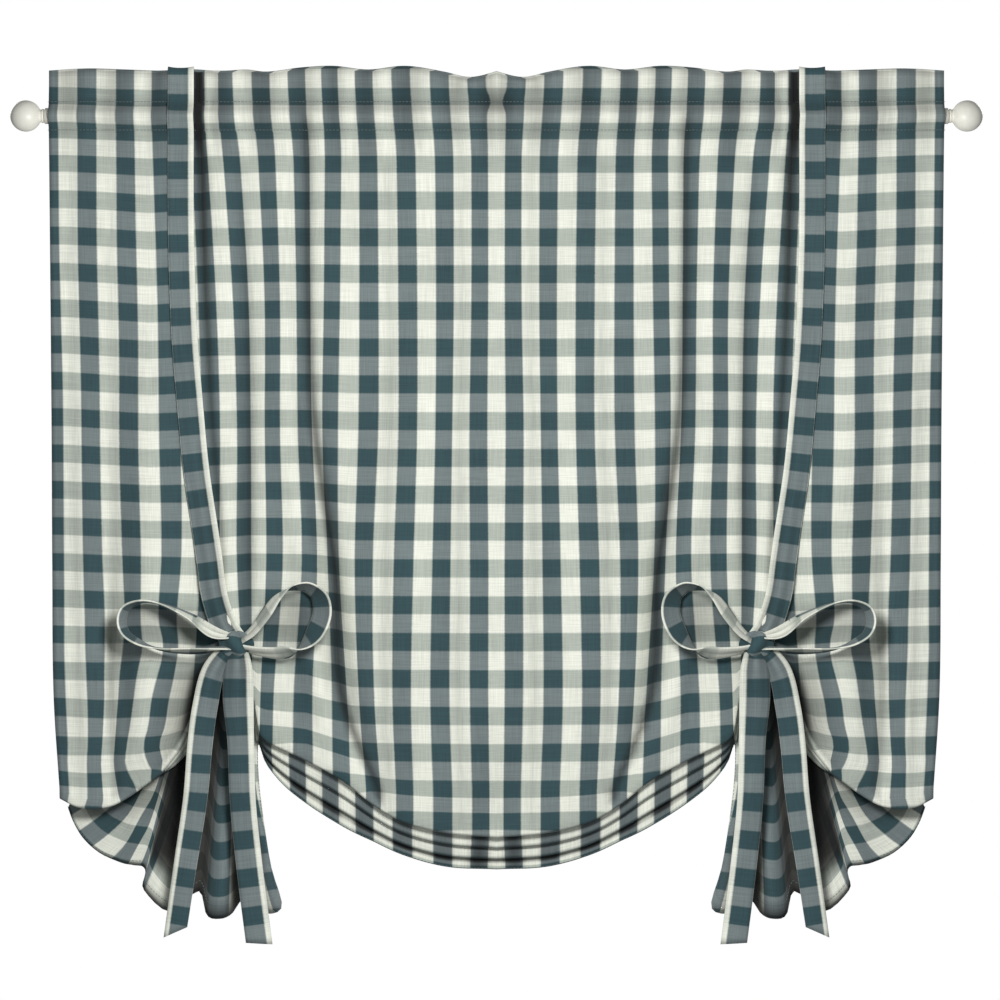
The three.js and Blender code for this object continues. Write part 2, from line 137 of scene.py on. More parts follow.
rod_paint = painted("rod_paint", "e9e6dc", "d3cfc2", 0.42)
rod = turned("painted_rod", [
    (-ROD_HALF, ROD_RADIUS - ROD_BEVEL), (-ROD_HALF + ROD_BEVEL, ROD_RADIUS),
    (ROD_HALF - ROD_BEVEL, ROD_RADIUS), (ROD_HALF, ROD_RADIUS - ROD_BEVEL),
], 1, rod_paint)
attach(rod, "root")
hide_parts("rod")

# PANEL
# One hemmed sheet of gingham cotton, dark blue-green and white. The rod runs through the pocket below
# its header, and the ties gather it at two places, so that its foot folds up behind in layers.
# Its two halves mirror each other, so sizes are given from the middle and from the rod's axis, in mm.
CLOTH = 1.2  # thickness
HALF_FLAT, HALF_HUNG = 493.75, 447  # half the width, flat and as hung
POCKET_REACH, POCKET_HALF = 11, 14  # half the pocket's depth and half its height
LAYER_HALF, FLAP_END, TOP_BEND = 1.8, -17, 2  # half the header's depth, edge turned back, bend at the top
HEADER_LEVEL, HEADER_LEAN = 46.5, 0.5  # the header leans back where its top is lower
FREE_DROP, CALM_RISE, CALM_SHARE = 52, 120, 0.35  # folds grow below the rod and calm down at the crease
FIRST_GAP, LAYER_PITCH, FOLD_COUNT, TURN_RISE = 7, 3.6, 6, 2.4  # layers folded up behind the front
FRONT_ROWS, HEM_ROWS = 82, 27  # rows of the mesh in the front layer and in the hem's

# Drops below the rod at which columns and folds are given
DROPS = [0, 184, 314, 449, 584, 674]

# Columns: flat distance from the middle, header's top edge, distance at each drop
COLUMNS = [
    (0, 44.5, [0, 0, 0, 0, 0, 0]),
    (19.75, 40, [17, 16.5, 18, 16.5, 16.5, 14.5]),
    (34, 39, [29, 29, 31, 31, 31, 29]),
    (59.25, 44, [52.5, 51.5, 52.5, 55, 56.5, 53.5]),
    (98.75, 49.5, [91, 88.5, 88.5, 92.5, 94.5, 92]),
    (138.25, 46, [128.5, 127.5, 128, 133, 130, 123]),
    (177.75, 49.5, [163, 165, 167, 164, 156.5, 154]),
    (217.25, 48, [195.5, 193, 191.5, 186, 193, 193]),
    (256.75, 44, [231.5, 224, 224, 222.5, 231, 232]),
    (277, 46, [250, 240, 239, 238, 240, 241]),
    (296.25, 45, [268.5, 256, 252.5, 252.5, 249, 249]),
    (316, 45, [284, 272, 268, 268, 259, 259]),
    (335.75, 46, [299, 289, 285, 286, 290, 298]),
    (355, 46, [317, 309, 305, 306, 322, 330]),
    (375.25, 45, [336, 329, 326, 326, 342, 338]),
    (414.75, 46, [371, 369.5, 369.5, 369, 376.5, 368]),
    (454.25, 47, [409.5, 409, 408, 406.5, 404.5, 403]),
    (HALF_FLAT, 45, [447.5, 446, 445, 444.5, 443, 437]),
]

# Folds: width, distance from the middle and depth behind the rest at each drop
FOLDS = [
    (120, [0, 0, 0, 0, 0, 0], [0, -2, -5, -9, -14, -16]),
    (16, [55, 52, 53, 57, 57, 54], [2, 3, 4, 5, 4, 2]),
    (13, [194, 193, 187, 167, 151, 121], [8, 9, 12, 16, 15, 8]),
    (16, [212, 211, 207, 190, 176, 150], [-3, -4, -6, -9, -9, -5]),
    (11, [262, 254, 252, 252, 250, 250], [2, 6, 7, 8, 6, 0]),
    (10, [298, 297, 293, 280, 275, 275], [10, 6, 4, 2, 0, 0]),
    (22, [340, 345, 348, 350, 352, 352], [0, -2, -3, -4, -6, -6]),
    (15, [380, 378, 378, 378, 378, 374], [0, 1, 2, 5, 11, 10]),
    (16, [300, 300, 300, 300, 306, 312], [0, 0, 0, 4, 22, 28]),
    (14, [447, 446, 445, 444, 443, 437], [0, 2, 3, 4, 6, 9]),
]

# Fine creases of the front: width, how dark their painted shade is, height of the upper end, then distance
# and depth at each drop
CREASES = [
    (4.5, 0.28, 10, [190, 189, 183, 163, 154, 118], [3, 3.5, 4.5, 6, 6, 4]),
    (4.5, 0.2, 60, [298, 292, 285, 275, 275, 275], [8, 4, 3, 2, 0, 0]),
    (6, 0.16, -20, [262, 252, 250, 250, 250, 250], [0, 2, 2.5, 3, 2, 0]),
    (5, 0.16, -40, [386, 384, 383, 383, 386, 380], [0, 1, 1.5, 2.5, 4, 3]),
    (6, 0.16, -30, [108, 106, 107, 110, 112, 108], [1, 1, 1.2, 1.5, 1.5, 1]),
    (5, 0.16, -30, [36, 35, 36, 37, 38, 36], [0.8, 0.8, 1, 1.2, 1.2, 1]),
    (5, 0.16, -30, [424, 424, 423, 421, 418, 416], [0.8, 1, 1.2, 1.5, 1.8, 1]),
]
CREASE_START, CREASE_DEEP, POCKET_CREASE = 30, 9, 1.6  # length of the upper end, and greatest depths
SLOW_WAVE, QUICK_WAVE, PUCKER_HIGH, HEADER_WAVE = 0.5, 0.3, 0.5, 0.9  # heights of the small waves

# Foot: flat distance, front crease, tops of the folds, hem's distance and height, its place in depth,
# share of the folds below the crease, sideways lean of the hem's layer, its power, and the print's place
FOOT = [
    (0, -721, -680, 0, -755, 0, 1, 0, 1, 0),
    (59.25, -716, -677, 53.5, -752, 0, 1, 0, 1, 59.25),
    (98.75, -706, -665, 92, -741.5, 0, 1, 0, 1, 98.75),
    (138.25, -689, -642, 123, -728, 0, 1, 0, 1, 138.25),
    (177.75, -664, -616, 154, -712.5, 0, 1, 0, 1, 177.75),
    (217.25, -643, -595, 193, -688, 0, 1, 0, 1, 217.25),
    (240, -632, -585, 216, -669, 0, 1, 0, 1, 240),
    (256.75, -624, -578, 232, -649, 0, 1, 0, 1, 256.75),
    (270, -613, -566, 240, -632, 0, 1, -0.8, 3, 270),
    (276, -600, -557, 239.2, -664, 0, 0.44, -3.3, 3, 279),
    (282, -584, -547, 234, -708, 0, 0.22, -11, 3, 286),
    (288, -568, -536, 226.5, -754, -1, 0.1, -21, 3, 291),
    (295, -558, -530, 216, -792, -5, 0, -34, 3, 295),
    (303, -553, -529, 233, -798, -20, 0, -22, 2.2, 317),
    (312, -552, -529, 255, -786, -2, 0, -3, 1.6, 345),
    (319, -552, -529, 266, -799, -15, 0, 5, 1.2, 362),
    (326, -552, -529, 277, -803, -22, 0, 10, 1, 375.25),
    (333, -560, -531, 290, -800, -15, 0, 18, 1.1, 384),
    (340, -585, -545, 299, -777, -5, 0, 14, 1.2, 386),
    (348, -628, -575, 328, -797, -17, 0, 27, 1.4, 390),
    (356, -648, -600, 354, -776, -12, 0, 36, 1.4, 405),
    (364, -655, -612, 353, -762, 0, 0, 25, 1, 437),
    (375.25, -660, -618, 355, -754, 4, 0, 18, 1, 454.25),
    (395, -670, -630, 365, -751.5, 4, 0, 12, 1, 474),
    (414.75, -681, -643, 378, -749, 2, 0, 11, 1, 493.75),
    (434, -690, -656, 398, -740, 0, 0, 12, 1, 513),
    (454.25, -693, -660, 415, -725, 0, 0, 12, 1, 533.25),
    (474, -691, -662, 425, -709, 0, 0, 11, 1, 553),
    (HALF_FLAT, -683, -660, 431, -694, 0, 0, 5, 1, 572.75),
]
FAN_INNER, FAN_OUTER, FAN_HEM = (262, 274), (297, 306), -797  # inner side of the fan: flat ends and hem
EAR = (350, 385)  # flat range in which the ear begins


def through(knots, values):
    """Smooth curve through a table's rows, with flat ends outside."""
    knots, values = np.asarray(knots, float), np.asarray(values, float)
    wide = (-1,) + (1,) * (values.ndim - 1)
    secants = np.diff(values, axis=0) / np.diff(knots).reshape(wide)
    slopes = np.concatenate([secants[:1], (secants[1:] + secants[:-1]) / 2, secants[-1:]])

    def at(place):
        place = np.clip(np.asarray(place, float), knots[0], knots[-1])
        row = np.clip(np.searchsorted(knots, place, side="right") - 1, 0, len(knots) - 2)
        span = knots[row + 1] - knots[row]
        share = (place - knots[row]) / span
        if values.ndim > 1:
            span, share = span[..., None], share[..., None]
        bend = share * share * (3 - 2 * share)
        return (
            values[row] * (1 - bend) + values[row + 1] * bend
            + span * share * (1 - share) * (slopes[row] * (1 - share) - slopes[row + 1] * share)
        )

    return at


def smooth_step(value, low, high):
    """From 0 at one value to 1 at another, with soft ends."""
    share = np.clip((value - low) / (high - low), 0, 1)
    return share * share * (3 - 2 * share)


def hump(value, middle, wide, power=2):
    """From 1 at the middle down to 0 on both sides."""
    return np.exp(-(((value - middle) / wide) ** power))


column_flats = [row[0] for row in COLUMNS]
header_top = through(column_flats, [row[1] for row in COLUMNS])
column_course = through(column_flats, [row[2] for row in COLUMNS])
foot_at = through([row[0] for row in FOOT], [row[1:] for row in FOOT])
folds = [(width, through(DROPS, at), through(DROPS, depth)) for width, at, depth in FOLDS]
creases = [
    (width, dark, upper, through(DROPS, at), through(DROPS, depth))
    for width, dark, upper, at, depth in CREASES
]


def across(flat, z):
    """Distance from the middle of a flat column at heights."""
    return through(DROPS, column_course(flat))(-z)


crease_beside = through([float(across(row[0], row[1])) for row in FOOT], [row[1] for row in FOOT])


def pocket_half(z):
    """Half the distance between the pocket's two layers."""
    swell = np.cos(np.pi * np.clip(z, -POCKET_HALF, POCKET_HALF) / (2 * POCKET_HALF)) ** 2
    return LAYER_HALF + (POCKET_REACH - LAYER_HALF) * swell


def fold_depth(x, z):
    """Depth of the folds, behind the plane in which the panel hangs."""
    return sum(depth(-z) * hump(x, at(-z), width) for width, at, depth in folds)


def front_depth(x, z):
    """Depth of the front layer, from the pocket's bulge to the crease, where the folds calm down."""
    grown = smooth_step(-z, POCKET_HALF, FREE_DROP)
    calm = CALM_SHARE + (1 - CALM_SHARE) * smooth_step(z - crease_beside(x), 0, CALM_RISE)
    return fold_depth(x, z) * grown * calm - pocket_half(z)


def crease_depth(x, z, darkness=False):
    """Depth of the fine creases, or how dark their painted shade is."""
    return sum(
        (dark if darkness else 1) * depth(-z) * hump(x, at(-z), width)
        * smooth_step(-z, -upper, CREASE_START - upper)
        for width, dark, upper, at, depth in creases
    )


def ripple(flat, x, z):
    """Fine creases and small uneven waves of the front, and puckers along the pocket's stitch lines.

    Each wave joins sines of unlike lengths, in mm, so that it looks uneven.
    """
    deepest = np.where(np.abs(z) < POCKET_HALF, POCKET_CREASE, CREASE_DEEP)
    fine = np.minimum(crease_depth(x, z), deepest)
    slow = SLOW_WAVE * np.sin(flat / 23 + z / 140) * np.sin(z / 61 + flat / 90)
    slow = slow + QUICK_WAVE * np.sin(flat / 11 - z / 55)
    pucker = np.sin(flat / 2.9 + 1.7 * np.sin(flat / 13)) + 0.6 * np.sin(flat / 4.7 + 2)
    seam = hump(np.abs(z), POCKET_HALF, 6) + 0.5 * hump(z, -26, 16)
    header = np.sin(flat / 7.5 + 0.8 * np.sin(flat / 31)) + 0.5 * np.sin(flat / 4.1 + z / 20)
    return (
        fine + slow * smooth_step(-z, 20, 80)
        + PUCKER_HIGH * pucker * seam + HEADER_WAVE * header * smooth_step(z, 8, 34)
    )


# Print: repeat of the check, its height at the side edges, and the dark rows near the header as drop and
# number
CHECK_WIDE, CHECK_HIGH, EDGE_HIGH = 39.5, 36.76, 36.35
HEADER_ROWS = [(-60, -1.1), (-18.5, 0), (15.5, 1), (48, 2)]
PINCH, PINCH_WIDE, PINCH_HIGH = 4, 8, 9  # columns moved at the middle of the upper stitch line
HEADER_SLANT = 5  # how far the columns slant up to the header's top
HEM_ROW, HEM_DARK = 29, 5.8  # dark row at the hem, and how far the hem lies above its middle
BEND_ROW, ROLL, TUCKED_ROWS = 3.6, 6, 70  # print on half a turn, rolled under the crease, above the hem
BAND_DRAW, BAND_DRAW_AT, BAND_DRAW_WIDE = 15, 172, 55  # print of the folded layers, moved sideways
EAR_SLANT, FAN_STRETCH = 0.6, 1.02  # print of the hem's layer, slanted in the ears and drawn out in the fan

# Print of the ears, drawn to the bow: drop, then how far at each distance from the middle
DRAW_PLACES, DRAW_STRENGTH = [265, 300, 335, 372, 404, 447], 1.15
DRAWN = [
    (100, [0, 0, 0, 3.5, 2.5, 2.5]),
    (440, [0, 0, 1, 4, 2.5, 2.5]),
    (504, [0, 0, 4, 9, 3.5, 1.5]),
    (530, [0, 0, 12, 10, 3.5, 1]),
    (560, [0, 0, 10, 8, 4, 1]),
    (585, [0, 0, 6, 6, 4.5, 1]),
    (610, [0, 0, 3.5, 0.5, 4.5, 1]),
    (630, [0, 0, -3, -5, 4, 1]),
    (645, [0, 4, 2, -9, 3, 0]),
    (660, [0, 12, 8, -7.5, 3, 0]),
    (680, [0, 18, 16, -3, 3, 0]),
]

# Print's rows, drawn up to the bow: drop, then how far at each distance from the middle
RAISE_PLACES = [146, 190, 248, 290, 346, 386, 430]
RAISED = [
    (0, [0, 0, 0, 0, -2, -1, 1]),
    (60, [0, 0.5, 0, 0, -3.5, -1, 1]),
    (300, [0, 2, 1.5, 0, -3, -1, 1.5]),
    (377, [0, 3.5, 3, 0, -1.5, 0, 1.5]),
    (451, [0, 5, 5, 0, 0.5, 1, 2]),
    (488, [0, 6.5, 6, 0, 2, 1, 2]),
    (524, [0, 8, 8, 2, 6, 3, 2.5]),
    (561, [0, 13, 13, 4, 6, 2.5, 2.5]),
    (596, [0, 11, 11, 4, 4.5, 1, 2.5]),
    (632, [0, 11, 11, 4, 2, 1, 0]),
    (680, [0, 8, 8, 2, 0, 0, 0]),
]


def print_shift(table, places):
    """Function of distances from the middle and heights that reads a table of the print's shifts."""
    shifts = through([row[0] for row in table], [row[1] for row in table])

    def at(x, z):
        x, z = np.broadcast_arrays(np.asarray(x, float), np.asarray(z, float))
        rows = zip(x.ravel(), shifts(-z.ravel()))
        return np.array([np.interp(place, places, row) for place, row in rows]).reshape(x.shape)

    return at


drawn_in = print_shift(DRAWN, DRAW_PLACES)
drawn_up = print_shift(RAISED, RAISE_PLACES)


def print_row(x, z):
    """Place of the print's rows on the front, in mm from the first dark row."""
    high = EDGE_HIGH + (CHECK_HIGH - EDGE_HIGH) * (1 - (x / HALF_HUNG) ** 2)
    near = np.interp(-z, *zip(*HEADER_ROWS))
    drop, row = HEADER_ROWS[-1]
    return CHECK_HIGH * np.where(-z < drop, near, row + (-z - drop) / high) + drawn_up(x, z)


def print_column(flat, x, z):
    """Place of the print's columns: pinched at the header's middle, slanted there, and drawn to the bow."""
    share = flat / PINCH_WIDE
    pinch = PINCH * share * math.exp(1 - share) * hump(z, POCKET_HALF, PINCH_HIGH)
    inside = smooth_step(flat, 0, 25) * (1 - smooth_step(flat, 290, 330))
    slant = HEADER_SLANT * inside * smooth_step(z, -50, 45)
    return flat + pinch - slant + DRAW_STRENGTH * drawn_in(x, z) * smooth_step(-z, 100, 300)


# Painted shade in the hollows, multiplied into the cloth's colour, as powers of e. Outer tail's edge: drop
# and distance from the middle, then how dark the painted shadow beside it is and how far that reaches
TAIL_DROPS, TAIL_PLACES, TAIL_START = [535, 580, 612, 660], [288, 301, 306.5, 309.5], 30
BESIDE_TAIL = [(2.6, 8), (0.9, 26)]
# Painted shadow behind the bow's loops: distance and height of the middle, half width and half height
LOOP_SHADES, LOOP_DARK = [(330, -510, 42, 20), (203, -504, 30, 26)], 0.45
# Painted shade in the valleys of the hem's layer: flat distance, width, how dark it is, and to which share
# of the way down
VALLEYS = [
    (299, 4, 0.8, 0.9),
    (310.5, 9.5, 3, 1.1),
    (341, 7, 3, 1.12),
    (349, 6, 2.2, 0.86),
    (357.5, 6, 3.4, 0.84),
    (367, 7, 1.2, 0.3),
]
VALLEY_END = 0.2  # share in which a valley runs out
SEAM_DARK, TOP_DARK, PINCH_DARK, PLEAT_DARK = 0.2, 0.45, 0.6, 0.22  # painted shade: stitch lines and header
SLIT_DARK, SLIT_AT, SLIT_WIDE = 2.6, 298, 4.5  # painted shade in the deep pleat beside the tie at the header
FAN_DARK, FAN_FROM, FAN_TO = 0.9, (285, 300), (355, 385)  # painted shade: top of the fan, and its flat ends
TUCK_DARK, TUCK_PALER, TUCK_TO = 2.2, 1.6, (250, 275)  # painted shade: under the last band, less in a white column
HEM_EDGE_DARK, EAR_DARK, EAR_TOP_DARK = 2.2, 0.12, 0.5  # painted shade: hem's edge, the ears, and more at their tops
BAND_DIM, MIDDLE_DIM, MIDDLE_DIM_AT, MIDDLE_DIM_WIDE = 0.32, 0.5, 21, 9  # painted shade: dark columns of the bands
BACK_SHADE = 0.35  # power by which the back face has less of this
# Gap of painted shade above a band's turn, and at the middle. Shade there: in a dark column, and more in a
# white one
BAND_GAP, GAP_WAVE, GAP_CLOSED, GAP_SOFT, HIDDEN_RISE = 2.8, 0.9, 0.6, 1.2, 14
MIDDLE_GAP, MIDDLE_GAP_AT, MIDDLE_GAP_WIDE = 3, 22, 10
BAND_HIDDEN = [(0.02, 0.4), (0.03, 0.47), (0.25, 0.4)]
tail_edge = through(TAIL_DROPS, TAIL_PLACES)


def front_shade(flat, x, z):
    """Painted shade of the front layer: creases, pleats, stitch lines, top edge, tail and loop shadows."""
    top = float(header_top(flat))
    seam_and_top_shade = SEAM_DARK * hump(np.abs(z), POCKET_HALF, 3) + TOP_DARK * smooth_step(z, top - 7, top)
    pinch = PINCH_DARK * hump(x, 0, 18) * hump(z, POCKET_HALF, 10)
    slit = SLIT_DARK * hump(x, SLIT_AT, SLIT_WIDE, 4) * smooth_step(z, -50, -5)
    tail_shadow = sum(dark * hump(x, tail_edge(-z), wide) for dark, wide in BESIDE_TAIL)
    tail_shadow = tail_shadow * smooth_step(-z, TAIL_DROPS[0], TAIL_DROPS[0] + TAIL_START)
    loops = sum(hump(x, at, wide, 4) * hump(z, level, high, 4) for at, level, wide, high in LOOP_SHADES)
    pleats = PLEAT_DARK * (1 + np.sin(flat / 6.6 + 0.9 * np.sin(flat / 27))) * smooth_step(z, -70, 10)
    lines = crease_depth(x, z, darkness=True)
    return np.exp(-lines - seam_and_top_shade - pinch - slit - tail_shadow - LOOP_DARK * loops - pleats)


def hem_shade(flat, share, white, inner_fan):
    """Painted shade of the hem's layer at shares of the way down, in a column that is white to some share.
    """
    valleys = sum(
        dark * hump(flat, at, wide, 4) * (1 - smooth_step(share, reach - VALLEY_END, reach))
        for at, wide, dark, reach in VALLEYS
    )
    in_fan = smooth_step(flat, *FAN_FROM) * (1 - smooth_step(flat, *FAN_TO))
    gathered = FAN_DARK * in_fan * (1 - smooth_step(share, 0.1, 0.6))
    tucked = (1 - smooth_step(flat, *TUCK_TO)) * (1 - smooth_step(share, 0.42, 0.62))
    edge = HEM_EDGE_DARK * smooth_step(share, 0.945, 0.99) * (1 - inner_fan)
    ear = smooth_step(flat, *EAR) * (EAR_DARK + EAR_TOP_DARK * (1 - smooth_step(share, 0.1, 0.55)))
    return np.exp(-valleys - gathered - (TUCK_DARK - TUCK_PALER * white) * tucked - edge - ear)


def panel_column(flat):
    """One column from the turned-back edge over the header and down to the hem: points and print."""
    top = float(header_top(flat))
    head_x = float(across(flat, 0.0))
    crease, turn, hem, foot, out, bands, lean, ease, print_at = foot_at(flat)
    crease_x = float(across(flat, crease))
    points, prints = [], []

    def extend(x, y, z, u, v, shade=1.0):
        rows = np.broadcast_arrays(x, y, z, u, v, shade)
        points.append(np.stack(rows[:3], -1).reshape(-1, 3))
        prints.append(np.stack([*rows[3:], np.zeros(rows[0].shape)], -1).reshape(-1, 4))

    def sway(z):
        return HEADER_LEAN * (HEADER_LEVEL - top) * smooth_step(z, POCKET_HALF, top)

    def layer(index, z):
        level = np.maximum(z, crease)
        x = across(flat, level) + (hem - lean - crease_x) * index / FOLD_COUNT
        behind = FIRST_GAP + LAYER_PITCH * (index - 1) if index else 0
        return np.array([float(x), float(fold_depth(x, level)) * CALM_SHARE - LAYER_HALF + behind, z])

    # Up the back of the pocket, over the header and down to the pocket's lower end
    up = np.concatenate([
        np.linspace(FLAP_END, POCKET_HALF, 12), np.linspace(POCKET_HALF, top - TOP_BEND, 6)[1:],
    ])
    top_row = float(print_row(head_x, top))
    behind = pocket_half(up) + sway(up) + ripple(flat, head_x, up)
    extend(head_x, behind, up, flat, top_row - (top - up))
    turn_over = np.radians([45, 90, 135])
    over = LAYER_HALF * np.cos(turn_over) + sway(top)
    extend(head_x, over, top - TOP_BEND * (1 - np.sin(turn_over)), flat, top_row)
    down = up[:0:-1]
    extend(
        head_x, sway(down) - pocket_half(down) + ripple(flat, head_x, down), down,
        print_column(flat, head_x, down), print_row(head_x, down), front_shade(flat, head_x, down),
    )

    # Front layer
    z = np.linspace(FLAP_END, crease + TURN_RISE, FRONT_ROWS)[:-1]
    x = across(flat, z)
    rolled = ROLL * smooth_step(crease - z, -45, -12)
    extend(
        x, front_depth(x, z) + ripple(flat, x, z), z,
        print_column(flat, x, z), print_row(x, z) + rolled, front_shade(flat, x, z),
    )

    # Layers folded up and down behind it, whose lower turns show as bands
    first, second, last = (row * CHECK_HIGH - HEM_DARK for row in (HEM_ROW - 6, HEM_ROW - 3, HEM_ROW))
    crease_row = float(print_row(crease_x, crease)) + ROLL
    between = [(crease_row + first) / 2, (first + second) / 2]
    turn_rows = [crease_row, between[0], first, between[1], second, last - TUCKED_ROWS]
    drawn = BAND_DRAW * hump(flat, BAND_DRAW_AT, BAND_DRAW_WIDE)
    white = float(smooth_step(math.cos(2 * math.pi * (flat - drawn) / CHECK_WIDE), -0.4, 0.4))
    # Painted shade on the bands' dark columns, and more on the one beside the middle
    middle_shade = MIDDLE_DIM * hump(flat, MIDDLE_DIM_AT, MIDDLE_DIM_WIDE)
    band_shade = ((1 - BAND_DIM * (1 - white)) * (1 - middle_shade)) ** bands
    visible = max(bands * (crease - foot) / 3, 6)
    angles = np.radians([0, 35, 90, 145, 180])
    for index in range(FOLD_COUNT):
        low = index % 2 == 0
        tip = crease + bands * (foot - crease) * index / FOLD_COUNT if low else turn
        bend = TURN_RISE if low else -TURN_RISE
        before, after = layer(index, tip + bend), layer(index + 1, tip + bend)
        if low and index:
            gap = (BAND_GAP + GAP_WAVE * math.sin(flat / 31 + index)) * (1 - GAP_CLOSED * white)
            gap += MIDDLE_GAP * hump(flat, MIDDLE_GAP_AT, MIDDLE_GAP_WIDE)
            rise = np.array([HIDDEN_RISE, visible - 0.2, visible - gap, visible - gap - GAP_SOFT])
            above = np.array([layer(index, tip + bend + up_by) for up_by in rise])
            hidden = [dark + more * white for dark, more in BAND_HIDDEN] + [band_shade]
            extend(*above.T, flat - drawn, turn_rows[index] - BEND_ROW - rise, hidden)
        shaped = before + (after - before) * ((1 - np.cos(angles)) / 2)[:, None]
        u = print_at - drawn if index > 4 else flat - drawn if index else flat
        v = turn_rows[index] + BEND_ROW * np.sin(angles - np.pi / 2)
        z = tip + bend * (1 - np.sin(angles))
        extend(shaped[:, 0], shaped[:, 1], z, u, v, band_shade if index else 1.0)

    # Last layer, down to the hem
    last_tip = crease + bands * (foot - crease) * (FOLD_COUNT - 2) / FOLD_COUNT
    start = layer(FOLD_COUNT, last_tip + TURN_RISE)
    share = np.linspace(0, 1, HEM_ROWS)
    x = start[0] + (hem - start[0]) * share**ease
    y = start[1] + out * np.sin(np.pi / 2 * share)
    z = start[2] + (foot - start[2]) * share
    to_hem = (1 - share) * math.hypot(hem - start[0], foot - start[2])
    inner_fan = smooth_step(flat, *FAN_INNER) * (1 - smooth_step(flat, *FAN_OUTER))
    slant = EAR_SLANT * smooth_step(flat, *EAR) * to_hem
    v = last - inner_fan * (z - FAN_HEM) * FAN_STRETCH - (1 - inner_fan) * to_hem
    extend(x, y, z, print_at + slant - drawn, v, band_shade * hem_shade(flat, share, white, inner_fan))
    return np.concatenate(points), np.concatenate(prints)


def sheet(name, grid, prints, material, other=None):
    """Closed sheet of cloth around a grid of middle points, with print and painted shade of its two faces,
    in mm.
    """
    other = prints if other is None else other
    rows, columns = grid.shape[:2]
    diagonal = np.cross(grid[1:, 1:] - grid[:-1, :-1], grid[1:, :-1] - grid[:-1, 1:])
    normals = np.zeros_like(grid)
    for i in (0, 1):
        for j in (0, 1):
            normals[i : rows - 1 + i, j : columns - 1 + j] += diagonal
    normals *= CLOTH / 2 / np.linalg.norm(normals, axis=-1, keepdims=True)
    points = np.concatenate([(grid + normals).reshape(-1, 3), (grid - normals).reshape(-1, 3)]) / 1000
    number = np.arange(rows * columns).reshape(rows, columns)
    far = rows * columns
    a, b, c, d = number[:-1, :-1], number[:-1, 1:], number[1:, 1:], number[1:, :-1]
    faces = [np.stack([a, b, c, d], -1).reshape(-1, 4), np.stack([a, d, c, b], -1).reshape(-1, 4) + far]
    for edge in (number[:, 0], number[-1], number[::-1, -1], number[0, ::-1]):
        faces.append(np.stack([edge[:-1], edge[1:], edge[1:] + far, edge[:-1] + far], -1))
    made = piece(name, points.tolist(), np.concatenate(faces).tolist(), material)
    flat_uv = np.concatenate([prints[..., :2].reshape(-1, 2), other[..., :2].reshape(-1, 2)]) / 1000
    corners = np.empty(len(made.data.loops), np.int32)
    made.data.loops.foreach_get("vertex_index", corners)
    made.data.uv_layers.new(name="print").data.foreach_set("uv", flat_uv[corners].ravel())
    # Painted shade, and paleness of the weft, for each point of both faces
    for column, word in enumerate(("shade", "pale"), 2):
        value = np.concatenate([prints[..., column].ravel(), other[..., column].ravel()])
        made.data.attributes.new(word, "FLOAT", "POINT").data.foreach_set("value", value)
    return made


# Cotton's unevenness: how often per metre across and down the cloth, and the noise's detail. Edges of the
# bands wander every 0.7 mm, slubs are 1 mm wide and 38 mm long, and crumples are 14 by 36 mm
COTTON_NOISE = {
    "column_edge": (60, 1500, 2.0),
    "row_edge": (1500, 60, 2.0),
    "warp_slub": (900, 26, 3.0),
    "weft_slub": (26, 900, 3.0),
    "uneven_dye": (17, 8, 2.0),
    "crumple": (70, 28, 3.0),
}
EDGE_WANDER = 0.0012  # metres by which the bands' edges wander
WARP_EDGE, WEFT_EDGE = (0.12, -0.12), (-0.1, 0.14)  # softness of the bands' edges, on a wave from -1 to 1
WEAVE_PITCH = 1.4  # mm, coarser than the real half millimetre, so that the weave shows


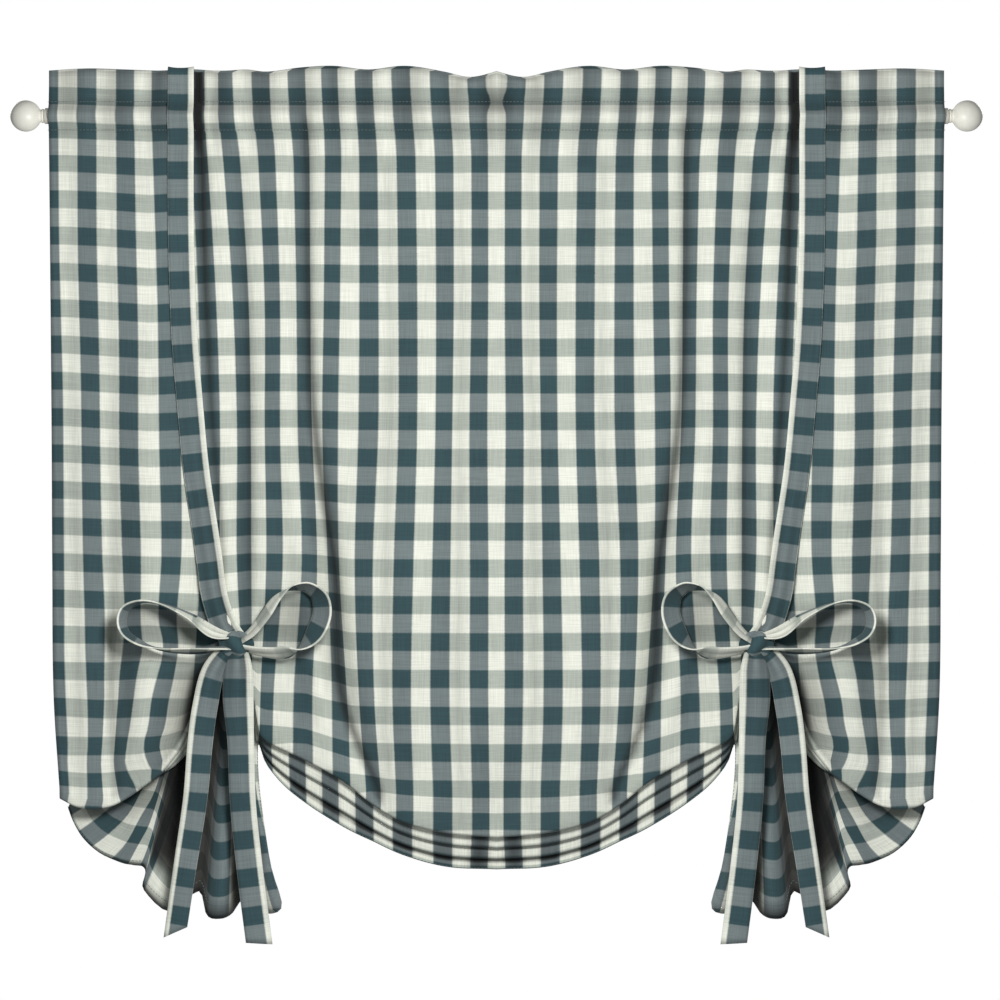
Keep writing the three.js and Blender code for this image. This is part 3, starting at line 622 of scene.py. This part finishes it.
def gingham(name):
    """Plain-woven check: dark warp and weft bands, slubs along the threads, a fine weave and painted shade.
    """
    material, tree, shader = surface(name, Roughness=0.88, Sheen_Weight=0.12, Sheen_Roughness=0.5)
    place = add(tree, "ShaderNodeUVMap", uv_map="print").outputs[0]
    noise = {}
    for word, (wide, high, detail) in COTTON_NOISE.items():
        spread = add(tree, "ShaderNodeMapping", {"Vector": place, "Scale": (wide, high, 1)})
        noise[word] = add(tree, "ShaderNodeTexNoise", {
            "Vector": spread.outputs[0], "Scale": 1.0, "Detail": detail,
        }).outputs["Fac"]

    # Dark bands of each direction, and the threads' ups and downs
    split = add(tree, "ShaderNodeSeparateXYZ", {0: place}).outputs
    bands, threads = [], []
    for along, edge, repeat, (low, high) in (
        (split[0], noise["column_edge"], CHECK_WIDE, WARP_EDGE),
        (split[1], noise["row_edge"], CHECK_HIGH, WEFT_EDGE),
    ):
        wander = add(tree, "ShaderNodeMath", {
            0: edge, 1: EDGE_WANDER, 2: -EDGE_WANDER / 2,
        }, operation="MULTIPLY_ADD")
        frayed = add(tree, "ShaderNodeMath", {0: along, 1: wander.outputs[0]}, operation="ADD")
        turns = add(tree, "ShaderNodeMath", {
            0: frayed.outputs[0], 1: 2000 * math.pi / repeat,
        }, operation="MULTIPLY")
        wave = add(tree, "ShaderNodeMath", {0: turns.outputs[0]}, operation="COSINE")
        band = add(tree, "ShaderNodeMapRange", {
            "Value": wave.outputs[0], "From Min": low, "From Max": high,
        })
        bands.append(band.outputs[0])
        crossings = add(tree, "ShaderNodeMath", {
            0: along, 1: 2000 * math.pi / WEAVE_PITCH,
        }, operation="MULTIPLY")
        thread_wave = add(tree, "ShaderNodeMath", {0: crossings.outputs[0]}, operation="SINE")
        threads.append(thread_wave.outputs[0])
    dark_warp, dark_weft = bands

    # Colours where no band, one or both lie, with a weaker weft where the cloth is marked as pale
    faded = add(tree, "ShaderNodeAttribute", attribute_name="pale").outputs["Fac"]
    kept = add(tree, "ShaderNodeMath", {0: 1.0, 1: faded}, operation="SUBTRACT")
    pale_weft = add(tree, "ShaderNodeMath", {0: dark_weft, 1: kept.outputs[0]}, operation="MULTIPLY")
    pale = add(tree, "ShaderNodeMix", {
        "Factor": pale_weft.outputs[0], 6: linear("f4f6e8"), 7: linear("b9c0b5"),
    }, data_type="RGBA")
    deep = add(tree, "ShaderNodeMix", {
        "Factor": dark_weft, 6: linear("7a8586"), 7: linear("324e53"),
    }, data_type="RGBA")
    check = add(tree, "ShaderNodeMix", {
        "Factor": dark_warp, 6: pale.outputs[2], 7: deep.outputs[2],
    }, data_type="RGBA")

    # Slubs and uneven dye, and the painted shade of the hollows from the shade attribute
    slub = add(tree, "ShaderNodeMath", {
        0: noise["warp_slub"], 1: noise["weft_slub"],
    }, operation="ADD").outputs[0]
    uneven = add(tree, "ShaderNodeMath", {
        0: noise["uneven_dye"], 1: 0.6, 2: slub,
    }, operation="MULTIPLY_ADD")
    grain = add(tree, "ShaderNodeMapRange", {
        "Value": uneven.outputs[0], "From Min": 0.9, "From Max": 1.7, "To Min": 0.78, "To Max": 1.16,
    })
    hollow = add(tree, "ShaderNodeAttribute", attribute_name="shade").outputs["Fac"]
    grain_and_painted_shade = add(tree, "ShaderNodeMath", {0: grain.outputs[0], 1: hollow}, operation="MULTIPLY")
    wear_and_painted_shade = add(tree, "ShaderNodeVectorMath", {
        0: check.outputs[2], 3: grain_and_painted_shade.outputs[0],
    }, operation="SCALE")

    # Relief of the weave on the crumpled cloth
    raised_slub = add(tree, "ShaderNodeMath", {0: slub, 1: 0.8}, operation="MULTIPLY")
    weave = add(tree, "ShaderNodeMath", {
        0: threads[0], 1: threads[1], 2: raised_slub.outputs[0],
    }, operation="MULTIPLY_ADD")
    crumple = add(tree, "ShaderNodeBump", {
        "Height": noise["crumple"], "Strength": 0.4, "Distance": 0.002,
    })
    relief = add(tree, "ShaderNodeBump", {
        "Height": weave.outputs[0], "Strength": 0.3, "Distance": 0.00012, "Normal": crumple.outputs[0],
    })
    tree.links.new(wear_and_painted_shade.outputs[0], shader.inputs["Base Color"])
    tree.links.new(relief.outputs[0], shader.inputs["Normal"])
    return material


# Columns of the mesh are 5 mm apart, and 2 mm at the bows, where the cloth is gathered
flats = np.concatenate([
    np.linspace(0, 264, 53), np.linspace(264, 384, 61)[1:], np.linspace(384, HALF_FLAT, 22)[1:],
])
panel_columns = [panel_column(flat) for flat in flats]
right = np.stack([points for points, _ in panel_columns], 1)
right_print = np.stack([prints for _, prints in panel_columns], 1)
left, left_print = right[:, :0:-1] * (-1, 1, 1), right_print[:, :0:-1] * (-1, 1, 1, 1)
panel_grid = np.concatenate([left, right], 1)
front_print = np.concatenate([left_print, right_print], 1)
# The back face takes the same print with weaker painted shade
back_print = front_print.copy()
back_print[..., 2] **= BACK_SHADE
panel = sheet("checked_panel", panel_grid, back_print, gingham("panel_gingham"), other=front_print)
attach(panel, "root")
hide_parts("shade_panel")

# STITCHING
# Lock stitches in grey-green cotton thread, sewn through the panel: two lines that close the rod's pocket,
# and one along the hem. Each stitch is a short rod of thread that lies on the cloth.
STITCH_LONG, STITCH_PITCH, STITCH_THICK, STITCH_LIFT = 2.4, 3.6, 0.5, 0.1
TWIST = 2500.0  # per metre: turns of the thread, 0.4 mm long
HEADER_FRONT = slice(20, 40)  # rows of the panel's grid down the front of the header and the pocket
HEM_LINE = 0.4  # share of the way from the grid's last row but one to the row above it
thread, thread_tree, thread_shader = surface("cotton_thread", Roughness=0.7)
twist = add(thread_tree, "ShaderNodeTexNoise", {
    "Vector": add(thread_tree, "ShaderNodeTexCoord").outputs["Object"], "Scale": TWIST,
})
thread_tone = add(thread_tree, "ShaderNodeMix", {
    "Factor": twist.outputs["Fac"], 6: linear("55666a"), 7: linear("7c8a8a"),
}, data_type="RGBA")
thread_tree.links.new(thread_tone.outputs[2], thread_shader.inputs["Base Color"])

stitch_tree = bpy.data.node_groups.new("stitches_on_lines", "GeometryNodeTree")
for label, kind, way in (
    ("Geometry", "NodeSocketGeometry", "INPUT"), ("Pitch", "NodeSocketFloat", "INPUT"),
    ("Length", "NodeSocketFloat", "INPUT"), ("Thickness", "NodeSocketFloat", "INPUT"),
    ("Material", "NodeSocketMaterial", "INPUT"), ("Geometry", "NodeSocketGeometry", "OUTPUT"),
):
    stitch_tree.interface.new_socket(label, in_out=way, socket_type=kind)
given = add(stitch_tree, "NodeGroupInput").outputs
lines = add(stitch_tree, "GeometryNodeMeshToCurve", {0: given["Geometry"]})
spaced = add(stitch_tree, "GeometryNodeResampleCurve", {
    "Curve": lines.outputs[0], "Length": given["Pitch"],
}, mode="LENGTH")
heading = add(stitch_tree, "GeometryNodeInputTangent")
turned_to = add(stitch_tree, "FunctionNodeAlignRotationToVector", {"Vector": heading.outputs[0]}, axis="Z")
one = add(stitch_tree, "GeometryNodeMeshCylinder", {
    "Vertices": 6, "Radius": given["Thickness"], "Depth": given["Length"],
})
placed = add(stitch_tree, "GeometryNodeInstanceOnPoints", {
    "Points": spaced.outputs[0], "Instance": one.outputs[0], "Rotation": turned_to.outputs[0],
})
real = add(stitch_tree, "GeometryNodeRealizeInstances", {0: placed.outputs[0]})
coated = add(stitch_tree, "GeometryNodeSetMaterial", {
    "Geometry": real.outputs[0], "Material": given["Material"],
})
add(stitch_tree, "NodeGroupOutput", {0: coated.outputs[0]})

lift = CLOTH / 2 + STITCH_LIFT
header_front = panel_grid[HEADER_FRONT]
row_z = header_front[:, panel_grid.shape[1] // 2, 2]
paths = [
    header_front[np.argmin(np.abs(row_z - height))] - (0, lift, 0)
    for height in (POCKET_HALF, -POCKET_HALF)
]
hem_line = panel_grid[-2] * (1 - HEM_LINE) + panel_grid[-3] * HEM_LINE
outward = np.cross(np.gradient(hem_line, axis=0), panel_grid[-3] - panel_grid[-1])
outward *= -np.sign(outward[:, 1:2]) / np.linalg.norm(outward, axis=1, keepdims=True)
paths.append(hem_line + outward * lift)
path_edges, first = [], 0
for path in paths:
    path_edges += [(first + step, first + step + 1) for step in range(len(path) - 1)]
    first += len(path)
guide_mesh = bpy.data.meshes.new("stitch_lines")
guide_mesh.from_pydata((np.concatenate(paths) / 1000).tolist(), path_edges, [])
guide = bpy.data.objects.new("stitch_lines", guide_mesh)
scene.collection.objects.link(guide)
sewing = guide.modifiers.new("stitches", "NODES")
sewing.node_group = stitch_tree
stitch_values = {
    "Pitch": STITCH_PITCH / 1000, "Length": STITCH_LONG / 1000,
    "Thickness": STITCH_THICK / 2000, "Material": thread,
}
for item in stitch_tree.interface.items_tree:
    if item.in_out == "INPUT" and item.name in stitch_values:
        sewing[item.identifier] = stitch_values[item.name]
sewn = bpy.data.meshes.new_from_object(guide.evaluated_get(bpy.context.evaluated_depsgraph_get()))
bpy.data.objects.remove(guide)
stitching = bpy.data.objects.new("panel_stitching", sewn)
scene.collection.objects.link(stitching)
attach(stitching, "root")
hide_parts("shade_panel")

# FINIALS
# Turned wooden balls with a short collar, in the rod's satin paint, a little whiter.
# Each is screwed on an end of the rod, and a narrow joint stays between them.
BALL_RADIUS, BALL_CENTRE, COLLAR_RADIUS, JOINT_GAP = 15.6, 470.6, 7, 0.3
BALL_RINGS, BALL_TIP = 40, 0.02  # rings of the mesh, and the angle at which the last one closes the ball
COLLAR = [(0, -0.8), (0.6, 0), (2.2, 0), (2.8, -0.9)]  # distance from its start, and change of radius
finial_paint = painted("finial_paint", "f8f6ec", "e2dfd2", 0.4)
neck = math.asin(COLLAR_RADIUS / BALL_RADIUS)
ball = [
    (BALL_CENTRE + BALL_RADIUS * math.cos(turn), BALL_RADIUS * math.sin(turn))
    for turn in np.linspace(math.pi - neck, BALL_TIP, BALL_RINGS)
]
collar = [(ROD_HALF + JOINT_GAP + along, COLLAR_RADIUS + more) for along, more in COLLAR]
for word, side in (("left", -1), ("right", 1)):
    finial = turned(f"ball_finial_{word}", collar + ball, side, finial_paint)
    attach(finial, "root")
    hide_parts(f"finial_{word}")

# TIES
# One long strip of the same cotton for each side. It lies over the header with a run in front and one
# behind, and its ends are tied in a bow in front of the gathered panel.
TIE_WIDTH, TIE_CLEAR, BACK_CLEAR, TIE_FLAT = 26, 2.4, 4, 353
# PLEAT_SHADE is the painted shade in the hollows of the pleats
CURL, PLEAT_FADE, PLEAT_SHADE, CUT_START = 0.05, 9, 0.25, 0.9  # hollow, pleats, and where the cut end starts
STRIP_PLACES = np.linspace(-0.5, 0.5, 9)  # places across the strip, as shares of its width

# Print across the strip, from its dark edge to the fold, and of the white ends that go into the knot
DARK_EDGE, FOLD_PRINT, LOOP_FOLD_PRINT = 9.9, 34.8, 31.6
WHITE_PRINT, WHITE_SOFT, PALE_PLACES = 16, 0.05, (0.1, 0.3)
RUN_RAISE, TAIL_ROW, TAIL_HIGH = 5, 684.5, 37.8  # rows of the runs and of the tails

# Run beside the middle: distance and height, from the knot up to the header
RUN = [
    (272, -510), (278.5, -492), (283, -474), (286.5, -447), (290.5, -419), (300, -354),
    (306.5, -285), (311.5, -224), (314.5, -150), (315.5, -84), (315.5, -40), (315.5, -17),
    (315.5, -6.5), (315.5, 0), (315.5, 6.5), (315.5, 15), (315.5, 30), (315.5, 44),
]

# Strips of the bow: middle as distance, depth and height, width, and direction across
OUTER_LOOP = [
    ((263, -13, -521), 12, (0.1, -1, -0.2)),
    ((283, -19, -515.5), 17, (0.1, -0.75, -0.65)),
    ((306.5, -25, -499), 23, (0.1, -1, -0.15)),
    ((336.5, -27, -486), 24, (0.1, -1, 0.05)),
    ((355, -27, -485), 24, (0.15, -1, 0.1)),
    ((368.5, -27, -492), 24, (0.3, -1, 0.1)),
    ((372, -27, -504), 24, (0.35, -1, 0)),
    ((368.5, -27, -516), 24, (0.25, -1, -0.1)),
    ((356, -27, -525), 24, (0.1, -1, -0.15)),
    ((336.5, -26, -532), 22, (0, -1, 0.1)),
    ((300, -22, -534), 19, (0, -0.95, 0.3)),
    ((265, -14, -532), 12, (0, -1, 0.1)),
]
INNER_LOOP = [
    ((256, -14, -525), 12, (-0.3, -1, 0)),
    ((243, -20, -514), 18, (-0.45, -0.85, -0.1)),
    ((231, -25, -499), 23, (-0.45, -0.85, -0.1)),
    ((217, -29, -481), 25, (-0.45, -0.85, 0.1)),
    ((203, -30, -472), 25, (-0.5, -0.8, 0.3)),
    ((188, -31, -471), 25, (-0.6, -0.75, 0.2)),
    ((176, -31, -480), 25, (-0.75, -0.65, -0.1)),
    ((173, -31, -496), 25, (-0.75, -0.65, -0.15)),
    ((180, -30, -515), 25, (-0.7, -0.7, -0.25)),
    ((194, -28, -529), 24, (-0.45, -0.85, 0.05)),
    ((213, -25, -536), 22, (0, -0.8, 0.55)),
    ((238, -19, -535), 17, (0, -0.85, 0.5)),
    ((256, -14, -530), 12, (0, -1, 0.1)),
]
OUTER_TAIL = [
    ((265, -14, -531), 18, (1, 0, 0.2)),
    ((281.5, -18, -554), 23, (1, -0.1, 0.25)),
    ((290, -18, -589), 25, (1, -0.15, 0.1)),
    ((295, -16, -624), 25, (1, -0.15, 0)),
    ((300, -14, -680), 24, (1, -0.1, 0)),
    ((310.5, -13, -750), 23, (1, 0.05, 0)),
    ((320, -12, -815), 22, (1, 0.1, 0)),
]
INNER_TAIL = [
    ((258, -15, -531), 18, (1, 0, 0)),
    ((257, -20, -552), 28, (1, 0.1, 0)),
    ((257, -21, -580), 31, (1, 0.15, 0)),
    ((254.5, -19, -624), 27, (1, 0.15, 0)),
    ((252.5, -17, -684), 26, (1, 0.1, 0)),
    ((245.5, -15, -754), 26, (1, 0, 0)),
    ((236.5, -14, -826), 26, (1, -0.1, 0)),
]

# Knot: middle and half sizes, the lobes that its wrapped strip gives it, turned as they go up, and the
# print's start and length about it and up it
KNOT_AT, KNOT_HALF = (259, -14, -528), (15, 8, 13)
KNOT_SWELL, KNOT_LOBES, KNOT_TURN, KNOT_END = 0.14, 4, 2.5, 1.45
KNOT_PRINT, KNOT_PRINT_ABOUT, KNOT_PRINT_UP = 12, 5, 14


def chain(points, steps):
    """Centripetal curve through points, sampled evenly by segment."""
    points = np.asarray(points, float)
    points = np.concatenate([[2 * points[0] - points[1]], points, [2 * points[-1] - points[-2]]])
    made = []
    for place in np.linspace(0, len(points) - 3 - 1e-9, steps + 1):
        i = int(place)
        share = place - i
        p0, p1, p2, p3 = points[i : i + 4]
        spans = ((p0, p1), (p1, p2), (p2, p3))
        t0, t1, t2 = (max(np.linalg.norm(b - a) ** 0.5, 1e-4) for a, b in spans)
        m1 = t1 * ((p1 - p0) / t0 - (p2 - p0) / (t0 + t1) + (p2 - p1) / t1)
        m2 = t1 * ((p2 - p1) / t1 - (p3 - p1) / (t1 + t2) + (p3 - p2) / t2)
        bend = share * share * (3 - 2 * share)
        made.append(
            p1 * (1 - bend) + p2 * bend + share * (1 - share) * (m1 * (1 - share) - m2 * share)
        )
    return np.array(made)


def strip(
    rows, steps, cut=0.0, pinch=(0.0, 0.0), white_left=False, turned_over=False, white=(0.0, 0.0),
    level=None, fold=FOLD_PRINT, fade=0.8,
):
    """Grid and print of a strip along a path: curled across, pinched into pleats with painted shade, white
    at ends.
    """
    middle = chain([row[0] for row in rows], steps)
    lean = chain([row[2] for row in rows], steps)
    widths = through(np.linspace(0, 1, len(rows)), [row[1] for row in rows])
    width = widths(np.linspace(0, 1, steps + 1))
    along = np.gradient(middle, axis=0)
    along /= np.linalg.norm(along, axis=1, keepdims=True)
    side = lean - along * (lean * along).sum(1, keepdims=True)
    side /= np.linalg.norm(side, axis=1, keepdims=True)
    normal = np.cross(side, along)
    length = np.concatenate([[0], np.cumsum(np.linalg.norm(np.diff(middle, axis=0), axis=1))])
    share = length / length[-1]
    pleat = pinch[0] * np.exp(-share * PLEAT_FADE) + pinch[1] * np.exp(-(1 - share) * PLEAT_FADE)
    grid = np.empty((len(STRIP_PLACES), steps + 1, 3))
    prints = np.ones((len(STRIP_PLACES), steps + 1, 4))
    bare = 1 - smooth_step(np.minimum(share - white[0], 1 - white[1] - share), -WHITE_SOFT, 0)
    run = length if level is None else level(middle[:, 2])
    for row, place in enumerate(STRIP_PLACES):
        end = -cut * place * np.clip((share - CUT_START) / (1 - CUT_START), 0, 1) ** 2
        pleat_wave = math.cos(4 * math.pi * place)
        lift_by = pleat * pleat_wave - CURL * width * (1 - 4 * place * place)
        grid[row] = (
            middle + side * (width * place)[:, None] + normal * lift_by[:, None] + along * end[:, None]
        )
        print_place = -place if white_left else place
        across_print = fold + (fold - DARK_EDGE) * (print_place - 0.5)
        prints[row, :, 0] = across_print * (1 - bare) + (CHECK_WIDE + WHITE_PRINT * place) * bare
        prints[row, :, 1] = run + end
        # Painted shade in the hollows of the pleats
        prints[row, :, 2] = np.exp(-PLEAT_SHADE * pleat * (1 - pleat_wave))
        prints[row, :, 3] = np.maximum(fade * smooth_step(print_place, *PALE_PLACES), bare)
    folded = prints * (-1, 1, 1, 1) + (2 * fold, 0, 0, 0)
    folded[..., 0] = folded[..., 0] * (1 - bare) + prints[..., 0] * bare
    return (grid, folded, prints) if turned_over else (grid, prints, folded)


def under_tie(x, z):
    """Depths of the panel's front layer at five places across a tie."""
    return [float(front_depth(x + share * TIE_WIDTH, z)) for share in (-0.5, -0.25, 0, 0.25, 0.5)]


def tie_back(x, z):
    """Depth of a tie's run behind the panel."""
    if z > FLAP_END - TIE_CLEAR:
        return float(pocket_half(z)) + TIE_CLEAR
    return max(under_tie(x, z)) + BACK_CLEAR


def run_level(z):
    """Print's rows of a run, a little off those of the panel beside it."""
    return print_row(RUN[-1][0], z) - RUN_RAISE


def tail_level(z):
    """Print's rows of a tail."""
    return (-z - TAIL_ROW) * CHECK_HIGH / TAIL_HIGH


crown = float(header_top(TIE_FLAT)) + TIE_CLEAR
run_points = [KNOT_AT]
run_points += [(x, min(under_tie(x, z)) - TIE_CLEAR, z) for x, z in RUN]
run_points += [(RUN[-1][0], y, crown) for y in (-LAYER_HALF, LAYER_HALF)]
run_points += [(x, tie_back(x, z), z) for x, z in RUN[::-1]]
run_rows = [(point, TIE_WIDTH, (1, 0, 0)) for point in run_points]
loop_look = {"pinch": (2, 2), "fold": LOOP_FOLD_PRINT, "fade": 0.3}
tail_look = {"pinch": (2, 0), "level": tail_level}
tie_parts = [
    strip(run_rows, 180, white_left=True, turned_over=True, pinch=(1.5, 0), level=run_level),
    strip(OUTER_LOOP, 90, white=(0.17, 0), **loop_look),
    strip(INNER_LOOP, 90, turned_over=True, white=(0, 0.2), **loop_look),
    strip(OUTER_TAIL, 60, cut=-14, **tail_look),
    strip(INNER_TAIL, 60, cut=5, white_left=True, **tail_look),
]
round_about, round_up = np.meshgrid(
    np.linspace(0, 2 * np.pi, 49), np.linspace(-KNOT_END, KNOT_END, 25),
)
swell = 1 + KNOT_SWELL * np.cos(KNOT_LOBES * round_about + KNOT_TURN * round_up) * np.cos(round_up)
knot_grid = np.stack([
    KNOT_AT[0] + KNOT_HALF[0] * np.cos(round_up) * np.cos(round_about) * swell,
    KNOT_AT[1] - KNOT_HALF[1] * np.cos(round_up) * np.sin(round_about) * swell,
    KNOT_AT[2] + KNOT_HALF[2] * np.sin(round_up) * swell,
], -1)
# Painted shade, darker between the lobes of the knot
knot_shade = 0.5 + 0.5 * swell**4 / 1.3
knot_print = np.stack([
    KNOT_PRINT + KNOT_PRINT_ABOUT * round_about, KNOT_PRINT_UP * round_up, knot_shade, 0 * swell,
], -1)
tie_parts.append((knot_grid, knot_print, knot_print))

tie_cloth = gingham("tie_gingham")
for word, side in (("left", -1), ("right", 1)):
    parts = []
    for number, (grid, prints, other) in enumerate(tie_parts):
        if side < 0:
            grid, prints, other = grid[:, ::-1] * (-1, 1, 1), prints[:, ::-1], other[:, ::-1]
        parts.append(sheet(f"tie_part_{number}", grid, prints, tie_cloth, other=other))
    with bpy.context.temp_override(active_object=parts[0], selected_editable_objects=parts):
        bpy.ops.object.join()
    tie = parts[0]
    tie.name = f"bow_tie_{word}"
    tie.data.name = tie.name
    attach(tie, "root")
    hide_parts(f"tie_{word}")

# STAGE
# A white surround on every side, a soft light in front of the shade's middle and two weaker ones behind it.
# The shade hangs clear of everything, so no floor shows.
AMBIENT, AMBIENT_STRENGTH = (0.95, 0.98, 1, 1), 0.25

# Lights: place in metres, radius and strength, which doesn't fall with distance
LIGHTS = [
    ("key", (0, -0.85, -0.22), 0.12, 30.5),
    ("back_left", (-1.2, 1.6, 0.5), 0.3, 13),
    ("back_right", (1.2, 1.6, 0.5), 0.3, 13),
]
CAMERA_AT, LENS, SENSOR = (0.0035, -4, -0.384), 144, 36

world = bpy.data.worlds.new("surround")
world.use_nodes = True
scene.world = world
seen = add(world.node_tree, "ShaderNodeLightPath").outputs["Is Camera Ray"]
soft = world.node_tree.nodes["Background"]
soft.inputs["Color"].default_value = AMBIENT
soft.inputs["Strength"].default_value = AMBIENT_STRENGTH
white = add(world.node_tree, "ShaderNodeBackground", {"Color": (1, 1, 1, 1), "Strength": 1.0})
both = add(world.node_tree, "ShaderNodeMixShader", {0: seen, 1: soft.outputs[0], 2: white.outputs[0]})
world.node_tree.links.new(both.outputs[0], world.node_tree.nodes["World Output"].inputs["Surface"])

for word, place, radius, energy in LIGHTS:
    light = bpy.data.lights.new(word, "POINT")
    light.shadow_soft_size, light.energy, light.use_nodes = radius, energy, True
    even = add(light.node_tree, "ShaderNodeLightFalloff", {"Strength": 1.0})
    emission = light.node_tree.nodes["Emission"]
    light.node_tree.links.new(even.outputs["Constant"], emission.inputs["Strength"])
    light_object = bpy.data.objects.new(word, light)
    light_object.location = place
    light_object.visible_camera = False
    scene.collection.objects.link(light_object)

camera = bpy.data.cameras.new("camera")
camera.lens, camera.sensor_width = LENS, SENSOR
camera_object = bpy.data.objects.new("camera", camera)
camera_object.location = CAMERA_AT
camera_object.rotation_euler = (math.pi / 2, 0, 0)
scene.collection.objects.link(camera_object)
scene.camera = camera_object
scene.view_settings.view_transform = "Standard"
